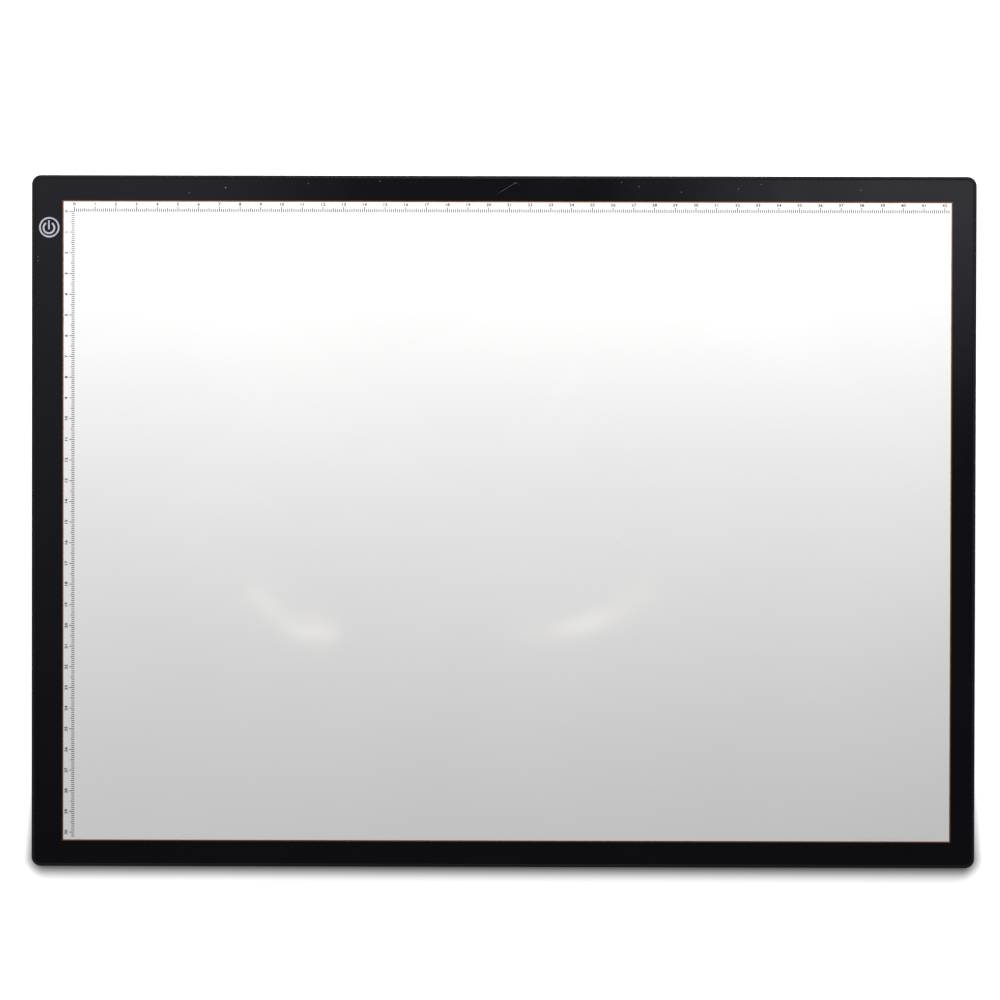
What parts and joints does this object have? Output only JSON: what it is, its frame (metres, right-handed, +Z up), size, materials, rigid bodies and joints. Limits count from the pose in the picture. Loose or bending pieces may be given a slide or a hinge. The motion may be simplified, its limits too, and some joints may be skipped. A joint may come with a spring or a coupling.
{
  "type": "light box",
  "caption": "Slim edge-lit tracing light box: glossy white work panel in a black border with printed centimetre rulers and a touch power key.",
  "frame": {"origin": "centre of the footprint, on the plane that the rubber feet stand on", "axes": "+X along the long side to the user's right, +Y away from the user, +Z up out of the work face; the touch key and the power socket are near the -X, +Y corner"},
  "size_m": [0.456, 0.334, 0.008],
  "materials": {
    "frame_plastic": "fine moulded texture, low sheen, black",
    "cover_plastic": "spark-textured black",
    "white_acrylic": "polished white acrylic",
    "black_print": "gloss black print",
    "line_print": "thin orange-brown print",
    "adhesive": "double-sided adhesive film",
    "diffuser_film": "translucent white film",
    "clear_acrylic": "clear acrylic with a printed dot pattern",
    "reflector_film": "bright white film",
    "foam": "closed-cell foam",
    "strip_board": "white solder mask on glass-fibre board",
    "led_package": "white package with a yellow phosphor face",
    "green_board": "green solder mask on glass-fibre board",
    "stamped_steel": "drawn and plated steel",
    "socket_plastic": "moulded black plastic",
    "gold_contact": "gold flash",
    "chip_plastic": "moulded epoxy with plated leads",
    "ferrite": "sintered ferrite",
    "capacitor_ceramic": "fired ceramic with plated ends",
    "resistor_ceramic": "coated ceramic with plated ends",
    "spring_metal": "plated bronze strip",
    "red_insulation": "soft red insulation",
    "black_insulation": "soft black insulation",
    "solder": "bright solder",
    "screw_steel": "black nickel plated steel",
    "foot_rubber": "soft matt black rubber"
  },
  "bodies": {
    "root": {"frame": "frame_plastic", "rear_cover": "cover_plastic", "front_panel": "white_acrylic", "border_print": "black_print", "edge_line_print": "line_print", "panel_tape": "adhesive", "reflector_sheet": "reflector_film", "light_guide_plate": "clear_acrylic", "diffuser_sheet": "diffuser_film", "foam_strip_left": "foam", "foam_strip_right": "foam", "strip_tape_far": "adhesive", "strip_tape_near": "adhesive", "led_strip_far": "strip_board", "led_strip_near": "strip_board", "leds_far": "led_package", "leds_near": "led_package", "control_board": "green_board", "usb_socket_shell": "stamped_steel", "usb_socket_tongue": "socket_plastic", "usb_socket_contacts": "gold_contact", "led_driver_chip": "chip_plastic", "touch_chip": "chip_plastic", "switch_transistor": "chip_plastic", "schottky_diode": "chip_plastic", "boost_inductor": "ferrite", "ceramic_capacitors": "capacitor_ceramic", "chip_resistors": "resistor_ceramic", "touch_spring": "spring_metal", "red_wire_far": "red_insulation", "black_wire_far": "black_insulation", "red_wire_near": "red_insulation", "black_wire_near": "black_insulation", "solder_joints": "solder", "cover_screws": "screw_steel", "board_screws": "screw_steel", "foot_far_left": "foot_rubber", "foot_far_right": "foot_rubber", "foot_near_left": "foot_rubber", "foot_near_right": "foot_rubber"}
  },
  "joints": []
}
